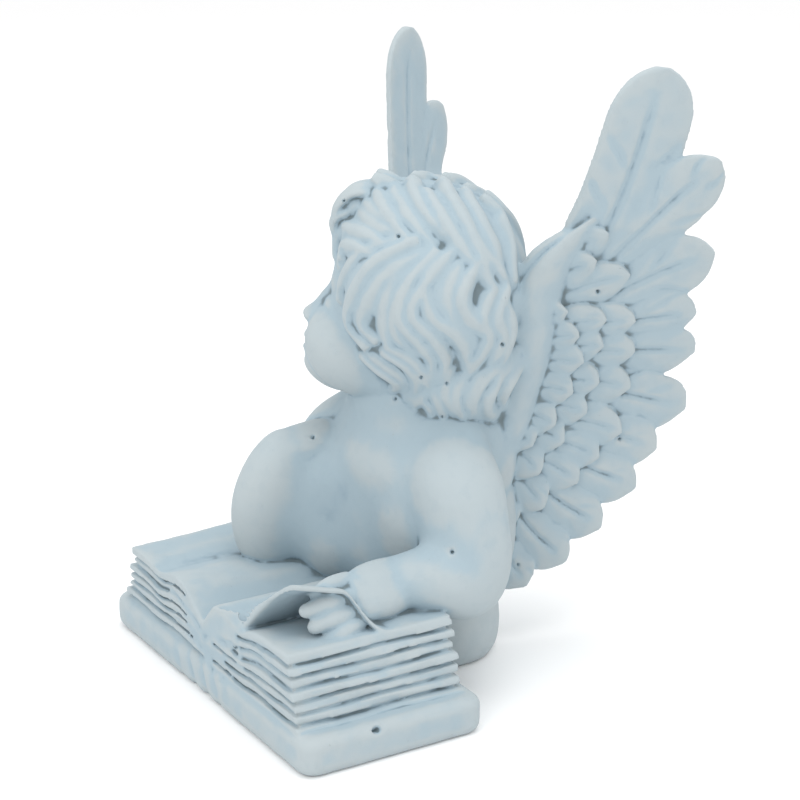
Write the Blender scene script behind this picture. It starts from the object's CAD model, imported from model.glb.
"""Angel figurine, dressed: one pale casting with its fine carving."""

import math

import bmesh
import bpy
import numpy as np
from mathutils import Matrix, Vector, noise


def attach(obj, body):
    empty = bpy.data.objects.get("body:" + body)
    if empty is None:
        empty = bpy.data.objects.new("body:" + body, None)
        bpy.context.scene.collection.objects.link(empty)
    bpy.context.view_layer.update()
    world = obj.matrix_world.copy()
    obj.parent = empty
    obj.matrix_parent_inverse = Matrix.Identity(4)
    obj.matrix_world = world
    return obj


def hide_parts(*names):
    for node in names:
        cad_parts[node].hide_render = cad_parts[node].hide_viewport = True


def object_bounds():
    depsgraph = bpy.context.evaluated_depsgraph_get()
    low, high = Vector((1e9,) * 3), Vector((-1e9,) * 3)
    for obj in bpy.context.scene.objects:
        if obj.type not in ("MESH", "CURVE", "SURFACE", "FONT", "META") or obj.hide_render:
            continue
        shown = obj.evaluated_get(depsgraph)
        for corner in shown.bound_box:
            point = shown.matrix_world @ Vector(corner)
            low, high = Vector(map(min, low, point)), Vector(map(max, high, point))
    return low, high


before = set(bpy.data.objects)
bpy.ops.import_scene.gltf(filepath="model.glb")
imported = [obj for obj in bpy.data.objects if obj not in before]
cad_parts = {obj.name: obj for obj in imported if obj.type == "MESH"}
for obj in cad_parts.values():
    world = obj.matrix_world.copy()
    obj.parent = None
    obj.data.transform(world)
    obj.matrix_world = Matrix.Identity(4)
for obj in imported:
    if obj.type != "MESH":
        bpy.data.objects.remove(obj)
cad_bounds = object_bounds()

# Sizes in metres. X is the angel's left, -Y the front of the book, +Z up.
COVER_WIDTH = 0.1296
COVER_DEPTH = 0.0600
COVER_THICKNESS = 0.0115
COVER_EDGE_RADIUS = 0.0034
COVER_FOOT_RADIUS = 0.0042
COVER_CORNER_RADIUS = 0.0045
PAGE_SIDE_MARGIN = 0.0062
PAGE_FRONT_MARGIN = 0.0016
PAGE_BACK_MARGIN = 0.0037
LEFT_PAGES_HEIGHT = 0.0212
RIGHT_PAGES_HEIGHT = 0.0189
RIGHT_PAGES_SWELL = 0.0026
GUTTER_X = -0.0022
GUTTER_HEIGHT = 0.0114
FORE_EDGE_SLANT = 0.0070
LEAF_LAYERS = 7
LEAF_GROOVE = 0.0011
LEAF_GROOVE_DEPTH = 0.0015
LEAF_EDGE_WAVE = 0.0003
LEAF_FACE_WAVE = 0.00022
RAISED_LEAF_THICKNESS = 0.0014
RAISED_LEAF_LIFT = 0.0178
FIGURE_HEIGHT = 0.187
FIGURE_SINK = 0.0095
FIGURE_SEAT = COVER_THICKNESS - FIGURE_SINK
FIGURE_TURN = math.radians(5.4)
FIGURE_SHIFT = 0.0027
FEATHER_THICKNESS = 0.0046
SPARE_BELOW = 0.0010
MELT_VOXEL = 0.0012
MELT_ROUNDS = 60
MELT_SWELL = 0.0016
BODY_MELT_ROUNDS = 90
EDGE_SOFT_ROUNDS = 4
PIT_DEPTH = 2.2
BOX_CLEARANCE = 0.00001
CREASE_GAIN = 2600
FORM_GAIN = 170
VOXEL = 0.00042
TRIANGLES = 190000

# One figure unit is a millimetre at the real size; the figure's points are given in it.
UNIT = FIGURE_HEIGHT / 187.0
LEAN = np.array([math.cos(FIGURE_TURN), math.sin(FIGURE_TURN), 0.0])
BACK = np.array([-math.sin(FIGURE_TURN), math.cos(FIGURE_TURN), 0.0])
UP = np.array([0.0, 0.0, 1.0])


class Clay:
    """Collects closed shapes that are fused into one body later."""

    def __init__(self):
        self.points = []
        self.faces = []
        self.count = 0

    def add_rings(self, rings):
        """A closed shape through equal rings, each end closed by a fan."""
        rings = np.asarray(rings, float)
        rows, sides = rings.shape[:2]
        start = self.count
        self.points.append(rings.reshape(-1, 3))
        self.points.append(rings[[0, -1]].mean(axis=1))
        self.count += rows * sides + 2
        first, last = start + rows * sides, start + rows * sides + 1
        for i in range(sides):
            j = (i + 1) % sides
            self.faces.append((first, start + j, start + i))
            end = start + (rows - 1) * sides
            self.faces.append((last, end + i, end + j))
            for row in range(rows - 1):
                a = start + row * sides
                b = a + sides
                self.faces.append((a + i, a + j, b + j, b + i))

    def raise_by(self, height):
        self.points = [points + [0.0, 0.0, height] for points in self.points]

    def take(self, other):
        self.faces += [tuple(self.count + i for i in face) for face in other.faces]
        self.points += other.points
        self.count += other.count


def unit(vector):
    vector = np.asarray(vector, float)
    return vector / np.linalg.norm(vector)


def smooth(value):
    value = np.clip(value, 0.0, 1.0)
    return value * value * (3.0 - 2.0 * value)


def path_through(points, per_span):
    """Evenly stepped smooth curve through the points, any number of columns."""
    points = np.asarray(points, float)
    padded = np.vstack([2 * points[0] - points[1], points, 2 * points[-1] - points[-2]])
    out = []
    for i in range(1, len(padded) - 2):
        p0, p1, p2, p3 = padded[i - 1:i + 3]
        for k in range(per_span):
            t = k / per_span
            out.append(0.5 * (2 * p1 + (p2 - p0) * t + (2 * p0 - 5 * p1 + 4 * p2 - p3) * t * t
                              + (3 * p1 - p0 - 3 * p2 + p3) * t ** 3))
    out.append(points[-1])
    return np.array(out)


def body_point(side, back, height):
    """A point of the figure's own frame in metres, from figure units."""
    return (FIGURE_SHIFT + side * UNIT) * LEAN + back * UNIT * BACK + height * UNIT * UP


def add_limb(clay, stations, wide=(1, 0, 0), sides=28, per_span=8, closed_ends=6):
    """Soft tube through stations (x, y, z, wide radius, narrow radius) in figure units."""
    path = path_through(stations, per_span) * UNIT
    centres, radii = path[:, :3], path[:, 3:]
    tangents = np.gradient(centres, axis=0)
    angles = np.linspace(0, 2 * math.pi, sides, endpoint=False)
    rings = []

    def ring(centre, tangent, r_wide, r_narrow):
        tangent = unit(tangent)
        across = np.asarray(wide, float)
        across = unit(across - tangent * across.dot(tangent))
        other = np.cross(tangent, across)
        return (centre + np.outer(np.cos(angles), across) * r_wide
                + np.outer(np.sin(angles), other) * r_narrow)

    for k in range(closed_ends, 0, -1):
        turn = math.pi / 2 * k / (closed_ends + 0.4)
        reach = min(radii[0]) * math.sin(turn)
        rings.append(ring(centres[0] - unit(tangents[0]) * reach, tangents[0],
                          radii[0][0] * math.cos(turn), radii[0][1] * math.cos(turn)))
    for centre, tangent, (r_wide, r_narrow) in zip(centres, tangents, radii):
        rings.append(ring(centre, tangent, r_wide, r_narrow))
    for k in range(1, closed_ends + 1):
        turn = math.pi / 2 * k / (closed_ends + 0.4)
        reach = min(radii[-1]) * math.sin(turn)
        rings.append(ring(centres[-1] + unit(tangents[-1]) * reach, tangents[-1],
                          radii[-1][0] * math.cos(turn), radii[-1][1] * math.cos(turn)))
    clay.add_rings(rings)


def add_ball(clay, centre, radii, axes=np.eye(3)):
    """Ellipsoid; centre in metres, radii in figure units, axes as rows."""
    ball = bmesh.new()
    bmesh.ops.create_uvsphere(ball, u_segments=64, v_segments=40, radius=1.0)
    local = np.array([vert.co for vert in ball.verts]) * np.asarray(radii, float) * UNIT
    clay.points.append(np.asarray(centre, float) + local @ axes)
    clay.faces += [tuple(clay.count + vert.index for vert in face.verts) for face in ball.faces]
    clay.count += len(ball.verts)
    ball.free()


def evaluated_copy(source):
    """The mesh with its modifiers applied."""
    graph = bpy.context.evaluated_depsgraph_get()
    return bpy.data.meshes.new_from_object(source.evaluated_get(graph))


def mesh_points(mesh):
    points = np.empty(len(mesh.vertices) * 3)
    mesh.vertices.foreach_get("co", points)
    return points.reshape(-1, 3)


def mesh_normals(mesh):
    normals = np.empty(len(mesh.vertices) * 3)
    mesh.vertices.foreach_get("normal", normals)
    return normals.reshape(-1, 3)


def set_points(mesh, points):
    mesh.vertices.foreach_set("co", points.ravel())
    mesh.update()


def mesh_edges(mesh):
    edges = np.empty(len(mesh.edges) * 2, np.int32)
    mesh.edges.foreach_get("vertices", edges)
    return edges.reshape(-1, 2)


def blurred(points, edges, rounds):
    """Each value moved toward the mean of its neighbours, several times."""
    degree = np.bincount(edges.ravel(), minlength=len(points)).astype(float)[:, None]
    for _ in range(rounds):
        total = np.zeros_like(points)
        for column in range(points.shape[1]):
            total[:, column] = (np.bincount(edges[:, 0], points[edges[:, 1], column], len(points))
                                + np.bincount(edges[:, 1], points[edges[:, 0], column], len(points)))
        points = 0.5 * points + 0.5 * total / degree
    return points


def fused(clay, voxel):
    """The clay's overlapping shapes as one skin."""
    mesh = bpy.data.meshes.new("clay")
    mesh.from_pydata(np.vstack(clay.points).tolist(), [], clay.faces)
    holder = bpy.data.objects.new("clay", mesh)
    bpy.context.collection.objects.link(holder)
    remesh = holder.modifiers.new("fuse", "REMESH")
    remesh.mode = "VOXEL"
    remesh.voxel_size = voxel
    skin = evaluated_copy(holder)
    bpy.data.objects.remove(holder)
    return skin


def thinned(mesh, triangles):
    """The skin with about this many triangles."""
    holder = bpy.data.objects.new("thinning", mesh)
    bpy.context.collection.objects.link(holder)
    thin = holder.modifiers.new("thin", "DECIMATE")
    mesh.calc_loop_triangles()
    thin.ratio = min(1.0, triangles / len(mesh.loop_triangles))
    result = evaluated_copy(holder)
    bpy.data.objects.remove(holder)
    return result


def melted(clay, voxel, rounds, swell):
    """The clay's shapes flowed softly together, as a new clay."""
    skin = fused(clay, voxel)
    soft = blurred(mesh_points(skin), mesh_edges(skin), rounds)
    set_points(skin, soft)
    result = Clay()
    result.points = [soft + mesh_normals(skin) * swell]
    result.faces = [tuple(face.vertices) for face in skin.polygons]
    result.count = len(soft)
    return result


# Book

def rounded_rectangle(half_x, half_y, radius, steps=8):
    """Outline points of a rectangle with round corners."""
    points = []
    for corner, (sx, sy) in enumerate([(1, 1), (-1, 1), (-1, -1), (1, -1)]):
        for k in range(steps + 1):
            turn = math.pi / 2 * (corner + k / steps)
            points.append((sx * (half_x - radius) + radius * math.cos(turn),
                           sy * (half_y - radius) + radius * math.sin(turn)))
    return np.array(points)


def add_cover(clay):
    """The slab under the leaves, with soft rounded lips."""
    rings = []
    foot = COVER_FOOT_RADIUS
    stops = [(math.pi / 2 * k / 6 - math.pi / 2, foot - SPARE_BELOW, foot) for k in range(7)]
    lip = COVER_EDGE_RADIUS
    stops += [(math.pi / 2 * k / 6, COVER_THICKNESS - lip, lip) for k in range(7)]
    for turn, level, radius in stops:
        inset = radius * (1 - math.cos(turn))
        outline = rounded_rectangle(COVER_WIDTH / 2 - inset, COVER_DEPTH / 2 - inset,
                                    COVER_CORNER_RADIUS)
        height = level + radius * math.sin(turn)
        rings.append([(x, y, height) for x, y in outline])
    clay.add_rings(rings)


# How the open leaves roll from the gutter to the fore edge: share of the way, share of the height.
LEFT_ROLL = path_through([(0, 0), (0.07, 0.47), (0.16, 0.84), (0.29, 0.75), (0.46, 0.68), (0.62, 0.93),
                          (0.8, 1.0), (1, 1)], 8)
RIGHT_ROLL = path_through([(0, 0), (0.1, 0.5), (0.22, 1.0), (0.38, 1.15), (0.6, 0.8), (0.78, 0.97),
                           (1, 1)], 8)


def page_top(x, y):
    """Height of the lying leaves' upper face above the ground."""
    side = 1.0 if x > GUTTER_X else -1.0
    height = LEFT_PAGES_HEIGHT if side > 0 else RIGHT_PAGES_HEIGHT
    roll = LEFT_ROLL if side > 0 else RIGHT_ROLL
    reach = COVER_WIDTH / 2 - PAGE_SIDE_MARGIN - FORE_EDGE_SLANT
    share = min(1.0, abs(x - GUTTER_X) / (reach - side * GUTTER_X))
    calm = smooth((y / COVER_DEPTH + 0.3) / 0.6) * smooth((share - 0.1) / 0.1)
    level = np.interp(share, roll[:, 0], roll[:, 1])
    level += calm * (1 - level) * 0.6
    swell = RIGHT_PAGES_SWELL * max(0.0, 0.5 + y / COVER_DEPTH) if side < 0 else 0.0
    return COVER_THICKNESS + GUTTER_HEIGHT + (height - GUTTER_HEIGHT) * level + swell * share


def add_layer(clay, side, low, high, outset, seed=0.0):
    """One bundle of leaves on one side of the gutter, between two shares of the pile."""
    steps = 60
    base = COVER_THICKNESS - 0.002
    half_depth = (COVER_DEPTH - PAGE_FRONT_MARGIN - PAGE_BACK_MARGIN) / 2
    middle = (PAGE_FRONT_MARGIN - PAGE_BACK_MARGIN) / 2
    rings = []
    for row in range(25):
        y = middle + (row / 12 - 1) * (half_depth + outset)
        lower, upper = [], []
        for k in range(steps + 1):
            share = k / steps
            for level, line, wave in ((low, lower, 0.0), (high, upper, 1.7)):
                edge = COVER_WIDTH / 2 - PAGE_SIDE_MARGIN - FORE_EDGE_SLANT * level + outset
                edge += LEAF_EDGE_WAVE * math.sin(y * 210 + seed * 2.3 + wave)
                inner = GUTTER_X - side * 0.0008
                x = inner + (side * edge - inner) * share
                z = base + (page_top(x, y) - base) * level
                if 0.02 < level < 0.98:
                    z += LEAF_FACE_WAVE * math.sin(x * 260 + y * 170 + seed * 1.9 + wave)
                line.append((x, y, z))
        ring = lower + upper[::-1]
        rings.append(ring if side > 0 else ring[::-1])
    clay.add_rings(rings)


def add_pages(clay):
    """Two piles of leaves, grooved between the bundles."""
    for side in (1, -1):
        add_layer(clay, side, 0.0, 0.985, -LEAF_GROOVE_DEPTH)
        height = LEFT_PAGES_HEIGHT if side > 0 else RIGHT_PAGES_HEIGHT
        gap = LEAF_GROOVE / height / 2
        for k in range(LEAF_LAYERS):
            low = k / LEAF_LAYERS + (gap if k else 0.0)
            high = (k + 1) / LEAF_LAYERS - (gap if k < LEAF_LAYERS - 1 else 0.0)
            outset = 0.0004 * math.sin(2.4 * k + side)
            add_layer(clay, side, low, high, outset, k + side)


def add_raised_leaf(clay):
    """The leaf lifted by the left hand, curling up at its front corner."""
    half_depth = (COVER_DEPTH - PAGE_FRONT_MARGIN - PAGE_BACK_MARGIN) / 2
    middle = (PAGE_FRONT_MARGIN - PAGE_BACK_MARGIN) / 2
    front = middle - half_depth
    edge = COVER_WIDTH / 2 - PAGE_SIDE_MARGIN - FORE_EDGE_SLANT
    rings = []
    for row in range(31):
        share = row / 30
        y = front + 2 * half_depth * 0.62 * share
        raised = 1 - smooth((share - 0.55) / 0.45)
        lower, upper = [], []
        for k in range(61):
            along = k / 60
            bend = smooth((along - 0.40) / 0.62) ** 0.9
            x = GUTTER_X + (edge - GUTTER_X) * along
            lift = raised * bend * (RAISED_LEAF_LIFT - 0.0081 * share)
            x_here = x - raised * bend * 0.0050
            y_here = y + raised * bend * 0.0065 * (1 - share)
            z = page_top(x, y) - 0.0004 + lift
            under = RAISED_LEAF_THICKNESS * 0.75 + max(0.0, 0.0012 - lift)
            lower.append((x_here, y_here, z - under))
            upper.append((x_here, y_here, z + RAISED_LEAF_THICKNESS * 0.35))
        rings.append(lower + upper[::-1])
    clay.add_rings(rings)


# Figure

TORSO = [  # side, back, height, half width, half depth
    (3.6, 49.0, -3.0, 20.0, 17.0),
    (3.6, 49.0, 2.0, 23.6, 20.6),
    (3.0, 47.6, 18.0, 24.0, 21.0),
    (1.0, 44.0, 32.0, 24.0, 21.5),
    (0.0, 42.5, 46.0, 26.5, 22.0),
    (0.0, 43.0, 57.0, 28.0, 21.0),
    (0.0, 45.0, 66.0, 27.0, 18.5),
    (0.0, 46.5, 73.0, 23.0, 17.5),
    (0.0, 46.0, 80.0, 20.5, 18.0),
    (0.0, 45.0, 88.0, 19.5, 18.5),
    (0.0, 44.0, 97.0, 16.0, 16.0),
]


# Belly, shoulder girdle, left flank and root of the neck: place, then the radii.
TRUNK_MASSES = [((1, 34, 38), (17, 14, 12)), ((1, 38, 62), (31, 17, 15)), ((18, 34, 50), (15, 12, 18)),
                ((4, 40, 76), (20, 14, 10))]


def add_torso(clay):
    """Trunk from the foot to the neck, with chest, shoulder blades and collar."""
    rings = []
    for side, back, height, wide, deep in path_through(TORSO, 8):
        ring = []
        for k in range(64):
            turn = 2 * math.pi * k / 64
            ring.append(body_point(side + wide * math.cos(turn), back + deep * math.sin(turn), height))
        rings.append(ring)
    clay.add_rings(rings)
    for side in (-1, 1):
        add_ball(clay, body_point(side * 10, 31, 54), (14, 8.5, 12))
        add_ball(clay, body_point(side * 17, 57, 68), (10, 9, 17))
        add_limb(clay, [(side * 8, 48, 81, 9, 9), (side * 18, 46, 74, 10, 10),
                        (side * 25, 44, 67, 11, 11)])
    for place, radii in TRUNK_MASSES:
        add_ball(clay, body_point(*place), radii)


def add_left_arm(clay):
    """Upper arm and forearm that reach over the book."""
    add_limb(clay, [(24, 43, 64, 12, 13), (33, 40, 62, 12.5, 13.5), (38, 40, 51, 11.5, 12),
                    (41, 41, 40, 10, 11), (41, 37, 33.5, 9.5, 10)])
    add_limb(clay, [(41, 40, 34, 9.5, 9.5), (41, 32, 36.5, 10, 9.5), (39, 24, 38, 8.8, 8.6),
                    (37, 16, 38.5, 7.6, 6.8)])


def add_left_hand(clay):
    """Hand that lifts the leaf, its fingers bent over the edge."""
    add_limb(clay, [(37.5, 17, 38, 8.2, 6.2), (39.5, 8, 38.2, 8.8, 5.6), (41, 1, 37.8, 7.8, 4.4)],
             wide=(0.7, 0, -0.8))
    knuckles = [(37.4, -1.0, 42.0), (41.2, -1.2, 38.9), (43.2, -1.5, 35.5), (45.0, -1.8, 32.4)]
    middles = [(39.0, -7.0, 42.6), (42.6, -9.6, 39.4), (44.8, -8.8, 35.2), (46.6, -7.2, 31.2)]
    tips = [(40.0, -12.0, 41.2), (42.2, -16.8, 38.2), (44.4, -15.2, 33.8), (46.2, -12.0, 29.4)]
    for knuckle, middle, tip in zip(knuckles, middles, tips):
        add_limb(clay, [(*knuckle, 3.0, 3.0), (*middle, 2.8, 2.8), (*tip, 2.2, 2.2)], sides=20)
    add_limb(clay, [(33, 11, 37, 3.4, 3.4), (31, 4, 37.5, 3.0, 3.0), (31, -3, 38, 2.4, 2.4)], sides=20)


def add_right_arm(clay):
    """Upper arm down to the elbow on the page, forearm up to the chin."""
    add_limb(clay, [(-18, 42, 64, 13, 13), (-27, 36, 61, 12.5, 13), (-24, 25, 46, 13, 13),
                    (-23, 12, 38, 11, 10.5), (-23, 4, 35, 8.5, 8.5)])
    add_limb(clay, [(-23, 4.5, 35, 9.6, 9.2), (-22.4, 4.2, 45, 10.2, 9.8), (-21.6, 7.2, 55, 9.8, 9.2),
                    (-20.6, 11, 62, 8.6, 8.0)])
    add_ball(clay, body_point(-12, 24, 50), (9, 10, 16))
    add_ball(clay, body_point(-11, 24, 36), (11, 12, 14))
    add_ball(clay, body_point(-17, 14, 44), (7, 8, 12))


def add_right_hand(clay):
    """Hand under the chin."""
    add_limb(clay, [(-20.5, 12, 63, 8.6, 6.6), (-19.5, 17, 64.5, 9.2, 6.2), (-18.5, 23, 66, 8.8, 5.6)])
    for k in range(4):
        x = -27.0 + 3.9 * k
        add_limb(clay, [(x, 19, 64.5, 3.0, 3.2), (x + 0.6, 25, 66.5, 2.9, 3.0),
                        (x + 1.4, 31, 69.0, 2.4, 2.5)], sides=20)
    add_limb(clay, [(-27, 15, 61, 3.0, 3.0), (-30, 21, 63.5, 2.7, 2.7), (-30, 27, 66.5, 2.2, 2.2)],
             sides=20)


# Head

HEAD_CENTRE = np.array([0.6, 42.8, 108.6]) * UNIT
HAIR_HUB = np.array([0.0, 42.0, 107.3]) * UNIT
HEAD_TURN = math.radians(41.0)
HEAD_TILT = math.radians(21.0)


def turned_axes(tilt):
    """Rows: forward, left side, up of the head when it is tilted back by tilt."""
    level = np.array([-math.sin(HEAD_TURN), -math.cos(HEAD_TURN), 0.0])
    left = np.array([-level[1], level[0], 0.0])
    forward = level * math.cos(tilt) + UP * math.sin(tilt)
    return np.array([forward, left, np.cross(forward, left)])


AXES = turned_axes(HEAD_TILT)
HAIR_AXES = turned_axes(0.0)


def hair_point(forward, left, up):
    """The hair is laid out level, in forward, left and up from its own hub."""
    return HAIR_HUB + np.array([forward, left, up]) @ HAIR_AXES * UNIT


# Soft masses of a child's head: forward, left, up, then the radii.
FACE_MASSES = [
    (-2.2, 0, 5.5, 27.2, 26.4, 28.0),
    (8, 0, -13, 18.6, 18.2, 17.4),
    (11.5, 8.0, -15.5, 13.2, 11.6, 11.6),
    (11.5, -8.0, -15.5, 13.2, 11.6, 11.6),
    (15.5, 0, -24.0, 9.0, 8.5, 7.2),
    (-6, 0, -14, 19.0, 18.0, 17.0),
]
FACE_BLEND = 2.2

# Small forms on it: left, up, sideways spread, upward spread, height.
FACE_FORMS = [
    (0, -11.6, 2.9, 2.6, 3.4),
    (0, -5.6, 2.4, 4.6, 1.7),
    (2.7, -12.9, 1.5, 1.3, 1.2),
    (0, -18.6, 4.8, 1.7, 1.6),
    (0, -22.0, 3.9, 1.6, 1.6),
    (0, -20.3, 4.8, 0.55, -1.1),
    (0, -25.0, 4.6, 1.3, -1.0),
    (0, -16.2, 1.0, 1.6, -0.5),
    (9.4, -4.6, 5.2, 3.8, -2.9),
    (9.4, -5.0, 3.7, 2.3, 2.9),
    (9.4, -2.4, 4.4, 0.6, -0.7),
    (9.4, -6.9, 3.6, 0.55, -0.8),
    (9.6, 1.2, 6.2, 1.9, 0.9),
    (5.7, -20.2, 1.2, 1.6, -0.7),
    (0, 8.0, 13.0, 7.0, 0.8),
]


def face_radius(directions):
    """Distance of the face's skin from the head's middle along unit directions."""
    total = np.zeros(len(directions))
    for mass in FACE_MASSES:
        centre, radii = np.array(mass[:3], float), np.array(mass[3:], float)
        ray = directions / radii
        offset = centre / radii
        ray_squared = (ray * ray).sum(1)
        along = ray @ offset
        inside = along * along - ray_squared * (offset @ offset - 1)
        reach = np.where(inside > 0, (along + np.sqrt(np.maximum(inside, 0))) / ray_squared, 0)
        total += np.exp(np.clip(reach, 0, 60) / FACE_BLEND)
    far = FACE_BLEND * np.log(total)
    points = directions * far[:, None]
    front = smooth((points[:, 0] - 6) / 10)
    for left, up, wide, tall, height in FACE_FORMS:
        for side in ((1, -1) if left else (1,)):
            bump = np.exp(-((points[:, 1] - side * left) / wide) ** 2 - ((points[:, 2] - up) / tall) ** 2)
            far = far + height * bump * front
    return far


def add_head(clay, rows=240, sides=320):
    """The bare head, as rings from the front to the back."""
    rings = []
    for k in range(1, rows):
        turn = math.pi * k / rows
        spin = np.linspace(0, 2 * math.pi, sides, endpoint=False)
        directions = np.stack([math.cos(turn) * np.ones(sides), math.sin(turn) * np.cos(spin),
                               math.sin(turn) * np.sin(spin)], axis=1)
        points = directions * face_radius(directions)[:, None]
        rings.append(HEAD_CENTRE + points @ AXES * UNIT)
    clay.add_rings(rings)


HAIR_CENTRE = (-8.0, 0.0, 8.0)
HAIR_RADII = (30.0, 30.0, 33.0)
NAPE_CENTRE = (-15.0, 0.0, -13.0)
NAPE_RADII = (20.0, 22.0, 20.0)


def scalp_point(forward, up, side, lift):
    """Point over the hair cap seen from the side at (forward, up), raised by lift."""
    f = (forward - HAIR_CENTRE[0]) / HAIR_RADII[0]
    u = (up - HAIR_CENTRE[2]) / HAIR_RADII[2]
    depth = math.sqrt(max(0.01, 1 - f * f - u * u))
    nape_f = (forward - NAPE_CENTRE[0]) / NAPE_RADII[0]
    nape_u = (up - NAPE_CENTRE[2]) / NAPE_RADII[2]
    nape = math.sqrt(max(0.0, 1 - nape_f * nape_f - nape_u * nape_u))
    s = side * max(HAIR_RADII[1] * depth, NAPE_RADII[1] * nape)
    normal = unit([f / HAIR_RADII[0], side * max(depth, nape) / HAIR_RADII[1], u / HAIR_RADII[2]])
    return np.array([forward, s, up]) + normal * lift


# Locks seen from the side: half width, lift, then (forward, up) points of the path.
LOCKS = [
    (4.4, 1.8, [(2, 31), (12, 30), (18, 24), (19, 17)]),
    (4.6, 2.2, [(-4, 27), (6, 29), (14, 31), (19, 28), (18, 23)]),
    (4.8, 2.8, [(-2, 33), (8, 36), (14, 36), (18, 32), (19, 26)]),
    (4.4, 2.8, [(2, 25), (10, 26), (16, 25), (18, 20)]),
    (4.6, 3.4, [(10, 41), (3, 37), (-6, 30)]),
    (4.4, 3.2, [(0, 41), (-6, 35), (-14, 28)]),
    (4.4, 3.2, [(-9, 41), (-15, 35), (-23, 25), (-30, 16)]),
    (4.2, 3.0, [(-16, 39), (-22, 32), (-27, 23), (-31, 14)]),
    (4.0, 2.4, [(-22, 37), (-27, 31), (-31, 24), (-33, 14)]),
    (4.2, 2.4, [(-4, 27), (7, 22), (13, 14), (15, 7)]),
    (4.8, 3.4, [(-9, 27), (2, 20), (8, 11), (10, 3), (5, -3)]),
    (4.4, 2.8, [(-12, 26), (-4, 17), (-1, 8), (-2, 0), (-8, -5)]),
    (4.4, 3.4, [(-15, 25), (-8, 16), (-6, 8), (-11, 1), (-14, -6), (-12, -16)]),
    (4.6, 3.0, [(-20, 25), (-13, 18), (-14, 10), (-21, 3), (-24, -6), (-22, -17)]),
    (4.4, 3.4, [(-23, 24), (-19, 15), (-20, 8), (-26, 0), (-27, -8)]),
    (4.4, 3.0, [(-31, 15), (-28, 7), (-29, 0), (-26, -7), (-22, -14), (-20, -24)]),
    (4.6, 3.2, [(-34, 10), (-35, 1), (-32, -8), (-27, -16), (-24, -26)]),
    (4.4, 3.0, [(-34, 0), (-33, -10), (-30, -18), (-28, -26)]),
    (3.4, 2.6, [(2, -3), (-6, -7), (-9, -14), (-5, -21), (2, -23), (6, -20)]),
    (3.0, 2.4, [(9, -6), (3, -10), (-2, -14), (0, -19), (5, -18)]),
    (3.4, 2.4, [(-11, -6), (-10, -14), (-12, -22), (-7, -28)]),
    (3.4, 2.4, [(-16, -8), (-14, -16), (-16, -24), (-12, -31)]),
    (3.6, 2.6, [(-21, -12), (-20, -20), (-22, -28), (-18, -35)]),
    (3.6, 2.6, [(-26, -16), (-25, -24), (-27, -31), (-24, -37)]),
    (3.6, 2.4, [(-9, -16), (-13, -24), (-10, -30), (-4, -32)]),
    (3.6, 2.4, [(-31, -6), (-31, -14), (-29, -22), (-31, -28)]),
]


def add_lock(clay, width, lift, path, side, sides=30):
    """One lock of hair lying over the cap, tapering to its end, with strands cut into it."""
    rows = []
    path = path_through(path, 14)
    count = len(path)
    for k, (forward, up) in enumerate(path):
        share = k / (count - 1)
        taper = 0.55 + 0.45 * math.sin(math.pi * min(1.0, share * 1.15) ** 0.8)
        point = scalp_point(forward, up, side, lift * 0.35)
        x, y, z = hair_point(*point) / UNIT
        rows.append((x, y, z, width * taper, (lift + 1.2) * taper))
    normal = np.array([0.0, side, 0.0]) @ HAIR_AXES
    stations = np.array(rows)
    centres = stations[:, :3]
    tangents = np.gradient(centres, axis=0)
    rings = []
    angles = np.linspace(0, 2 * math.pi, sides, endpoint=False)
    strands = 1 - 0.16 * (0.5 + 0.5 * np.cos(4 * angles + width)) ** 2
    hub = hair_point(*HAIR_CENTRE) / UNIT
    for (x, y, z, wide, thick), tangent in zip(rows, tangents):
        centre = np.array([x, y, z])
        tangent = unit(tangent)
        outward = unit(centre - hub + normal * 6)
        outward = unit(outward - tangent * outward.dot(tangent))
        across = np.cross(tangent, outward)
        rings.append((centre + np.outer(np.cos(angles) * strands, across) * wide
                      + np.outer(np.sin(angles) * strands, outward) * thick) * UNIT)
    clay.add_rings(rings)


def add_hair(clay):
    """The cap of hair and its locks, two strands to a lock, on both sides."""
    add_ball(clay, hair_point(*HAIR_CENTRE), HAIR_RADII, HAIR_AXES)
    add_ball(clay, hair_point(*NAPE_CENTRE), NAPE_RADII, HAIR_AXES)
    for number, (width, lift, path) in enumerate(LOCKS):
        turns = np.gradient(np.array(path, float), axis=0)
        beside = np.stack([-turns[:, 1], turns[:, 0]], axis=1)
        beside /= np.linalg.norm(beside, axis=1)[:, None]
        for side in (1, -1):
            for strand in (-1, 1):
                line = np.array(path, float) + beside * strand * 0.42 * width
                rise = lift * (0.9 if (number + strand) % 3 else 0.66) - 1.0
                add_lock(clay, 0.76 * width, rise, line, side)


# Wings

def wing_depth(back, height):
    """Distance of the wing's middle sheet from the figure's centre plane."""
    rise = height - 85.0
    spread = 22.0 + 0.21 * rise + 0.21 * (math.hypot(rise, 18.0) - 18.0)
    flare = 0.36 + 0.17 * smooth((height - 60.0) / 60.0)
    above = max(0.0, height - 137.5)
    return spread + flare * (back - 65.0) - 0.151 * above - 0.002 * above * (back - 80.0 + above)


def wing_point(side, back, height, out):
    """A point over the wing's sheet, moved outward from it."""
    return body_point(side * (wing_depth(back, height) + out), back, height)


# Arm of the wing: back, height, half width, half thickness.
LEADING_EDGE = [
    (62.5, 62, 7.5, 5.6), (66.5, 75, 8.4, 5.8), (68, 88, 9.0, 5.8), (68.5, 105, 9.4, 5.4),
    (67.5, 118, 9.0, 4.6), (69.6, 127, 7.8, 3.6), (72.6, 134, 5.8, 2.2), (76.0, 140, 3.2, 0.7),
]
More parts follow.
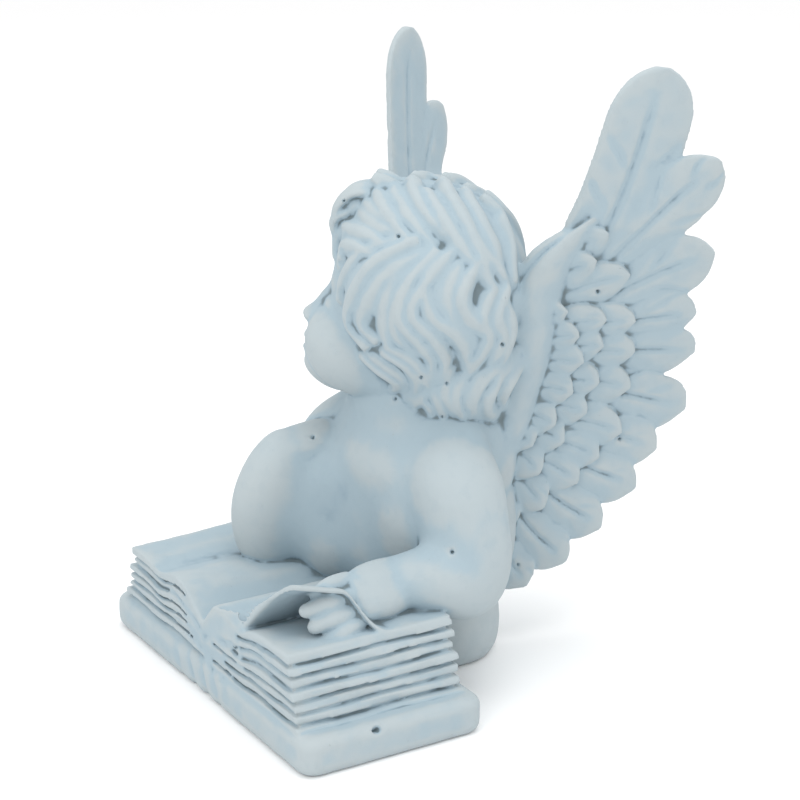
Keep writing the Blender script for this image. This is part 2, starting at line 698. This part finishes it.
# Long feathers: back and height of the root, back and height of the tip, half width, bow.
PRIMARIES = [
    (74.0, 110, 89.4, 185.4, 11.9, -0.02),
    (75.4, 106, 106.9, 157.4, 10.2, 0.05),
    (76, 102, 111.5, 128, 11.0, 0.06),
    (75, 97, 113, 107, 9.2, 0.06),
    (74, 91, 118, 93, 9.0, 0.05),
    (73, 84, 121.5, 72, 9.6, 0.03),
    (71, 76, 114, 59, 9.0, 0.0),
    (69, 69, 108, 46.5, 8.6, -0.03),
    (67, 62, 97, 34, 8.2, -0.05),
    (64, 54, 86, 23.5, 7.8, -0.06),
    (61, 46, 73.5, 17, 7.0, -0.06),
]
# Tips of the three rows of short feathers: back, height.
MIDDLE_TIPS = [(78, 137), (88, 123), (95, 107), (98, 94), (101, 81), (100, 67), (94, 58), (87, 50),
               (78, 43), (67, 37)]
SMALL_TIPS = [(77, 127), (85, 108), (88, 97), (91, 84), (87, 75), (82, 66), (75, 56)]
TINY_TIPS = [(73, 112), (79, 103), (81, 93), (81, 83), (77, 73), (72, 65)]


def quill_groove(across, share):
    """Depth of the groove down a feather's middle, fading at both ends."""
    return (math.exp(-((across - 0.12) / 0.10) ** 2) * smooth((share - 0.25) / 0.2)
            * smooth((0.92 - share) / 0.2))


def add_feather(clay, side, root, tip, half_width, bow, lift, thickness, barbs=0.75, shoulder=0.78):
    """A rounded blade from root to tip, its tip standing above the layer below."""
    root, tip = np.array(root, float), np.array(tip, float)
    length = np.linalg.norm(tip - root)
    middle = (root + tip) / 2 + np.array([-(tip - root)[1], (tip - root)[0]]) * bow
    spine = path_through([root, middle, tip], 24)
    tangents = np.gradient(spine, axis=0)
    rings = []
    for k, ((back, height), tangent) in enumerate(zip(spine, tangents)):
        share = k / (len(spine) - 1)
        across = unit([-tangent[1], tangent[0]])
        width = half_width * (0.6 + 0.4 * smooth(share / 0.4))
        if share > shoulder:
            width *= math.sqrt(max(0.03, 1 - ((share - shoulder) / (1 - shoulder)) ** 2))
        ring = []
        worn = smooth((share - 0.3) / 0.25) * (0.5 + 0.5 * math.sin(share * 9.0 + tip[1]))
        for u in np.linspace(-1, 1, 33):
            cut = max(0.0, math.sin(math.pi * (share * length / 7.5 - abs(u) * 1.9 + 0.3 * tip[0]))) ** 8
            out = lift * (0.3 + 0.7 * share) + thickness * (0.3 - 0.28 * u * u + 0.12 * u)
            out -= barbs * (1.5 * quill_groove(u, share) + worn * cut * smooth((abs(u) - 0.2) / 0.3))
            ring.append(wing_point(side, *(np.array([back, height]) + across * u * width), out))
        for u in np.linspace(1, -1, 33):
            out = lift * 0.3 * share - thickness * 0.5 * (1 - 0.3 * u * u)
            out += barbs * quill_groove(u, share)
            ring.append(wing_point(side, *(np.array([back, height]) + across * u * width), out))
        rings.append(ring if side > 0 else ring[::-1])
    clay.add_rings(rings)


def add_row(clay, side, tips, length, half_width, lift, thickness):
    """A row of covert feathers; each points away from the arm of the wing."""
    hub = np.array([58.0, 92.0])
    jitter = np.random.default_rng(len(tips))
    for tip in tips:
        tip = np.array(tip, float) + jitter.uniform(-1.3, 1.3, 2)
        toward = unit(hub + np.array([0.0, (tip[1] - 92) * 0.55]) - tip)
        add_feather(clay, side, tip + toward * length, tip, half_width, 0.04, lift, thickness, 0.45, 0.55)


def add_wing(clay, side):
    """Long feathers, three rows of short ones and the arm of the wing."""
    thickness = FEATHER_THICKNESS / UNIT
    for root_b, root_h, tip_b, tip_h, half_width, bow in PRIMARIES:
        add_feather(clay, side, (root_b, root_h), (tip_b, tip_h), half_width, bow, 0.0, thickness)
    add_row(clay, side, MIDDLE_TIPS, 24, 7.4, 2.2, thickness * 0.9)
    add_row(clay, side, SMALL_TIPS, 17, 6.8, 3.8, thickness * 0.9)
    add_row(clay, side, TINY_TIPS, 13, 6.2, 5.2, thickness * 0.9)
    stations = []
    for back, height, wide, thick in LEADING_EDGE:
        x, y, z = wing_point(side, back, height, 1.0) / UNIT
        stations.append((x, y, z, wide, thick))
    add_limb(clay, stations, wide=BACK)
    add_ball(clay, body_point(side * 19, 60, 64), (8, 10, 20))
    add_ball(clay, body_point(side * 20, 62, 40), (6, 8, 22))


def model_figure():
    """All the shapes of the book and the angel."""
    book = Clay()
    add_cover(book)
    add_pages(book)
    add_raised_leaf(book)
    trunk = Clay()
    add_torso(trunk)
    add_left_arm(trunk)
    add_right_arm(trunk)
    angel = melted(trunk, MELT_VOXEL, MELT_ROUNDS, MELT_SWELL)
    add_left_hand(angel)
    add_right_hand(angel)
    add_head(angel)
    add_hair(angel)
    for side in (1, -1):
        add_wing(angel, side)
    angel.raise_by(FIGURE_SEAT)
    book.take(angel)
    return book


def soften(mesh, rounds):
    """Round the cut edges as paint over plaster does."""
    set_points(mesh, blurred(mesh_points(mesh), mesh_edges(mesh), rounds))


# Where the forms flow together: side, back, height, reach in figure units, and how strongly.
SOFT_SPOTS = [
    (38, 17, 38, 9, 1.0), (-20, 13, 63, 8, 0.8), (-14, 27, 68, 9, 0.5), (7, 52, 114, 33, 1.0),
    (46, 82, 100, 46, 0.06), (-46, 82, 100, 46, 0.06), (26, 56, 70, 12, 0.6), (-26, 56, 70, 12, 0.6),
    (5, 50, 84, 14, 0.3), (17, 54, 82, 13, 0.8), (-17, 54, 82, 13, 0.8), (-14, 16, 45, 15, 1.0),
    (-10, 26, 62, 14, 0.8), (26, -24, 36, 20, 0.12), (-4, -29, 20, 11, 0.25), (0, 50, 82, 18, 0.3),
]


def melt_body(mesh, rounds):
    """Melt the creases between the body's masses."""
    points, edges = mesh_points(mesh), mesh_edges(mesh)
    weight = np.zeros(len(points))
    for side, back, height, reach, strength in SOFT_SPOTS:
        spot = body_point(side, back, height) + UP * FIGURE_SEAT
        far = np.linalg.norm(points - spot, axis=1) / (reach * UNIT)
        weight = np.maximum(weight, strength * np.exp(-far ** 6))
    weight[weight < 0.005] = 0.0
    near = (weight[edges] > 0).any(axis=1)
    used, index = np.unique(edges[near], return_inverse=True)
    part, links = points[used], index.reshape(-1, 2)
    share = weight[used][:, None]
    for _ in range(rounds):
        part = part + share * (blurred(part, links, 1) - part)
    points[used] = part
    set_points(mesh, points)


# Casting pinholes as seen from the view point: slope across and up the view, and radius.
PINHOLES = [(-0.0115, -0.1650, 0.0011), (-0.0280, 0.0995, 0.0005), (-0.0010, 0.0820, 0.0005),
            (0.0515, 0.0275, 0.0006), (-0.0435, -0.0185, 0.0006), (0.0210, -0.0085, 0.0004),
            (-0.0025, 0.0005, 0.0005), (0.0105, 0.0110, 0.0005), (0.0235, 0.0080, 0.0005),
            (-0.0825, -0.1240, 0.0005), (0.0260, -0.0760, 0.0006), (0.0260, -0.1085, 0.0005),
            (0.1100, -0.0195, 0.0005), (0.0590, -0.0825, 0.0005), (0.0990, 0.0540, 0.0006)]
VIEW_TURN = math.radians(58.63)
VIEW_TILT = math.radians(17.3)
VIEW_BACK = np.array([math.sin(VIEW_TURN) * math.cos(VIEW_TILT),
                      -math.cos(VIEW_TURN) * math.cos(VIEW_TILT), math.sin(VIEW_TILT)])
VIEW_RIGHT = np.array([math.cos(VIEW_TURN), math.sin(VIEW_TURN), 0.0])
VIEW_UP = np.cross(VIEW_BACK, VIEW_RIGHT)
VIEW_DISTANCE = 0.61994
VIEW_ACROSS = 0.03434
VIEW_RISE = 0.08288
VIEW_PLACE = (VIEW_BACK * VIEW_DISTANCE + VIEW_RIGHT * VIEW_ACROSS + VIEW_UP * VIEW_RISE
              + UP * FIGURE_SEAT)


def pits(points):
    """How deep each point lies in a pinhole, 0 to 1, with the pinhole's radius."""
    depth, size = np.zeros(len(points)), np.zeros(len(points))
    for across, rise, radius in PINHOLES:
        line = unit(-VIEW_BACK + VIEW_RIGHT * across + VIEW_UP * rise)
        reach = (points - VIEW_PLACE) @ line
        off = np.linalg.norm(points - VIEW_PLACE - reach[:, None] * line, axis=1)
        close = off < radius * 2.5
        if close.any():
            dent = close & (reach < reach[close].min() + 0.004)
            depth[dent] = np.exp(-(off[dent] / radius) ** 4)
            size[dent] = radius
    return depth, size


def roughen(mesh):
    """Slight handmade unevenness, soft waves on the book's spine and the casting pinholes."""
    points, normals = mesh_points(mesh), mesh_normals(mesh)
    push = np.array([0.00013 * noise.noise(Vector(p) * 130) + 0.00005 * noise.noise(Vector(p) * 420)
                     for p in points])
    depth, size = pits(points)
    push -= PIT_DEPTH * size * depth
    x, y, z = points.T
    spine = np.exp(-((x - GUTTER_X) / 0.013) ** 2) * smooth((-0.026 - y) / 0.002)
    spine *= smooth((COVER_THICKNESS + 0.001 - z) / 0.003)
    push -= 0.0010 * spine * (0.5 + 0.5 * np.sin(2 * math.pi * (x + 0.5 * z) / 0.0085))
    set_points(mesh, points + normals * push[:, None])


def keep_largest_shell(mesh):
    """Drop bubbles closed inside the body."""
    edges = mesh_edges(mesh)
    label = np.arange(len(mesh.vertices))
    while True:
        low = np.minimum(label[edges[:, 0]], label[edges[:, 1]])
        fresh = label.copy()
        np.minimum.at(fresh, edges[:, 0], low)
        np.minimum.at(fresh, edges[:, 1], low)
        fresh = fresh[fresh]
        if np.array_equal(fresh, label):
            break
        label = fresh
    values, counts = np.unique(label, return_counts=True)
    keep = values[counts.argmax()]
    body = bmesh.new()
    body.from_mesh(mesh)
    body.verts.ensure_lookup_table()
    loose = [body.verts[i] for i in np.nonzero(label != keep)[0]]
    bmesh.ops.delete(body, geom=loose, context="VERTS")
    body.to_mesh(mesh)
    body.free()


def flatten_base(mesh):
    """Cut the underside exactly flat on the ground."""
    body = bmesh.new()
    body.from_mesh(mesh)
    geom = list(body.verts) + list(body.edges) + list(body.faces)
    bmesh.ops.bisect_plane(body, geom=geom, plane_co=(0, 0, 0), plane_no=(0, 0, -1), clear_outer=True)
    rim = [edge for edge in body.edges if edge.is_boundary]
    bmesh.ops.triangle_fill(body, edges=rim, use_beauty=True)
    bmesh.ops.recalc_face_normals(body, faces=body.faces)
    for vert in body.verts:
        vert.co.z = max(0.0, vert.co.z)
    bmesh.ops.triangulate(body, faces=body.faces)
    body.to_mesh(mesh)
    body.free()


def fit_inside(mesh, box):
    """Draw the outermost points in until the casting fits the box."""
    points = mesh_points(mesh)
    low, high = np.array(box[0]), np.array(box[1])
    middle = (low + high) / 2
    for axis in range(3):
        for end, sign in ((high[axis], 1.0), (low[axis], -1.0)):
            reach = (points[:, axis] * sign).max()
            over = reach - end * sign
            if over > 0 and (axis, sign) != (2, -1.0):
                span = reach - middle[axis] * sign
                share = np.clip((points[:, axis] - middle[axis]) * sign / span, 0, 1)
                points[:, axis] -= sign * (over + BOX_CLEARANCE) * share ** 6
    set_points(mesh, points)


def mark_hollows(mesh):
    """Store how hollow or proud each point is, for the paint: 0.5 is flat, more is hollow."""
    points, edges, normals = mesh_points(mesh), mesh_edges(mesh), mesh_normals(mesh)
    near = ((blurred(points, edges, 6) - points) * normals).sum(1)
    wide = ((blurred(points, edges, 40) - points) * normals).sum(1)
    value = np.clip(0.5 + CREASE_GAIN * near + FORM_GAIN * wide, 0, 1)
    value = blurred(value[:, None], edges, 1)[:, 0]
    value = np.maximum(value, pits(points)[0] * 1.2)
    layer = mesh.attributes.new("hollow", "FLOAT", "POINT")
    layer.data.foreach_set("value", value.astype(np.float32))


def figurine_mesh():
    """The whole casting as one closed mesh, ready for its paint."""
    skin = fused(model_figure(), VOXEL)
    keep_largest_shell(skin)
    melt_body(skin, BODY_MELT_ROUNDS)
    soften(skin, EDGE_SOFT_ROUNDS)
    roughen(skin)
    result = thinned(skin, TRIANGLES)
    flatten_base(result)
    fit_inside(result, cad_bounds)
    mark_hollows(result)
    result.shade_smooth()
    result.name = "angel_casting"
    return result


# Materials

class Node:
    """One output socket of a material; arithmetic on it adds Math nodes."""

    def __init__(self, tree, socket):
        self.tree = tree
        self.socket = socket

    def make(self, kind, settings=None, inputs=None, output=0):
        node = self.tree.nodes.new(kind)
        for name, value in (settings or {}).items():
            setattr(node, name, value)
        for name, value in (inputs or {}).items():
            if isinstance(value, Node):
                self.tree.links.new(value.socket, node.inputs[name])
            else:
                node.inputs[name].default_value = value
        return Node(self.tree, node.outputs[output])

    def maths(self, operation, first, second):
        return self.make("ShaderNodeMath", {"operation": operation}, {0: first, 1: second})

    def __add__(self, other):
        return self.maths("ADD", self, other)

    def __radd__(self, other):
        return self.maths("ADD", other, self)

    def __sub__(self, other):
        return self.maths("SUBTRACT", self, other)

    def __rsub__(self, other):
        return self.maths("SUBTRACT", other, self)

    def __mul__(self, other):
        return self.maths("MULTIPLY", self, other)

    def between(self, low, high):
        """0 at low, 1 at high, soft in between."""
        return self.make("ShaderNodeMapRange", {"interpolation_type": "SMOOTHSTEP"},
                         {"Value": self, "From Min": low, "From Max": high})

    def mix(self, amount, colour_a, colour_b):
        return self.make("ShaderNodeMix", {"data_type": "RGBA"},
                         {0: amount, 6: colour_a, 7: colour_b}, 2)


# Paint, as linear colours.
PALE = (0.350, 0.440, 0.490, 1.0)
WARM_PALE = (0.425, 0.475, 0.490, 1.0)
BLUE = (0.265, 0.355, 0.420, 1.0)
DEEP = (0.100, 0.125, 0.125, 1.0)
DUST = (0.230, 0.255, 0.250, 1.0)


def painted_casting():
    """Matt blue-grey paint, warmer where proud, bluer and dirtier where hollow."""
    material = bpy.data.materials.new("pale_blue_casting")
    material.use_nodes = True
    tree = material.node_tree
    shader = tree.nodes["Principled BSDF"]
    here = Node(tree, None)
    place = here.make("ShaderNodeTexCoord", output=3)
    hollow = here.make("ShaderNodeAttribute", {"attribute_name": "hollow"}, output=2)
    clouds = here.make("ShaderNodeTexNoise", None, {"Vector": place, "Scale": 38.0, "Detail": 4.0})
    mottle = here.make("ShaderNodeTexNoise", None, {"Vector": place, "Scale": 240.0, "Detail": 5.0})
    grain = here.make("ShaderNodeTexNoise", None, {"Vector": place, "Scale": 1900.0, "Detail": 3.0})
    proud = 1.0 - hollow.between(0.08, 0.56)
    sunk = hollow.between(0.57, 0.92)
    deepest = hollow.between(0.80, 1.0)
    warm = proud * 0.65 + clouds.between(0.35, 0.75) * 0.2
    base = here.mix(warm.between(0.0, 1.0), PALE, WARM_PALE)
    base = here.mix((sunk * 0.68 + mottle.between(0.45, 0.65) * 0.18).between(0.0, 1.0), base, BLUE)
    base = here.mix(deepest * (0.45 + mottle * 0.5), base, DEEP)
    specks = grain.between(0.66, 0.74) * mottle.between(0.5, 0.6)
    base = here.mix(specks * 0.35, base, DUST)
    rough = 0.78 + mottle * 0.14 - proud * 0.06
    fine = mottle * 0.6 + grain * 0.4
    bump = here.make("ShaderNodeBump", None, {"Height": fine, "Strength": 0.22, "Distance": 0.00035})
    tree.links.new(base.socket, shader.inputs["Base Color"])
    tree.links.new(rough.socket, shader.inputs["Roughness"])
    tree.links.new(bump.socket, shader.inputs["Normal"])
    shader.inputs["Metallic"].default_value = 0.0
    shader.inputs["Specular IOR Level"].default_value = 0.3
    return material


def dress_figurine():
    """The painted casting in place of the plain solid."""
    mesh = figurine_mesh()
    mesh.materials.clear()
    mesh.materials.append(painted_casting())
    casting = bpy.data.objects.new("angel_casting", mesh)
    bpy.context.scene.collection.objects.link(casting)
    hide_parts("angel_figurine")
    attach(casting, "root")


# Stage

def lay_floor():
    """Plain pale floor."""
    floor_mesh = bpy.data.meshes.new("floor")
    floor_mesh.from_pydata([(-3, -3, 0), (3, -3, 0), (3, 3, 0), (-3, 3, 0)], [], [(0, 1, 2, 3)])
    material = bpy.data.materials.new("pale_floor")
    material.use_nodes = True
    shader = material.node_tree.nodes["Principled BSDF"]
    shader.inputs["Base Color"].default_value = (0.97, 0.97, 0.97, 1)
    shader.inputs["Roughness"].default_value = 0.9
    floor_mesh.materials.append(material)
    floor = bpy.data.objects.new("floor", floor_mesh)
    bpy.context.scene.collection.objects.link(floor)
    floor.location.z = -0.0002


def hang_light(name, place, target, size, power):
    """Square soft lamp aimed at the target."""
    lamp = bpy.data.lights.new(name, "AREA")
    lamp.shape = "SQUARE"
    lamp.size = size
    lamp.energy = power
    holder = bpy.data.objects.new(name, lamp)
    holder.location = place
    holder.rotation_euler = (Vector(place) - Vector(target)).to_track_quat("Z", "Y").to_euler()
    bpy.context.scene.collection.objects.link(holder)


def light_studio():
    """Even white surroundings with three soft lamps."""
    bpy.context.scene.view_settings.view_transform = "Standard"
    world = bpy.data.worlds.new("studio")
    bpy.context.scene.world = world
    world.use_nodes = True
    background = world.node_tree.nodes["Background"]
    background.inputs["Color"].default_value = (1, 1, 1, 1)
    background.inputs["Strength"].default_value = 1.0
    middle = (0.0, 0.04, 0.08)
    hang_light("front_soft", (0.55, -0.75, 0.75), middle, 0.6, 2.2)
    hang_light("left_soft", (-0.8, -0.5, 0.5), middle, 0.8, 0.6)
    hang_light("top_soft", (0.2, 0.1, 1.1), middle, 0.7, 4.0)


def place_camera():
    """Camera at the photograph's angle."""
    data = bpy.data.cameras.new("camera")
    data.sensor_width = 36.0
    data.lens = 90.0
    camera = bpy.data.objects.new("camera", data)
    bpy.context.scene.collection.objects.link(camera)
    camera.location = VIEW_PLACE.tolist()
    camera.rotation_euler = Vector(VIEW_BACK).to_track_quat("Z", "Y").to_euler()
    bpy.context.scene.camera = camera


dress_figurine()
lay_floor()
light_studio()
place_camera()
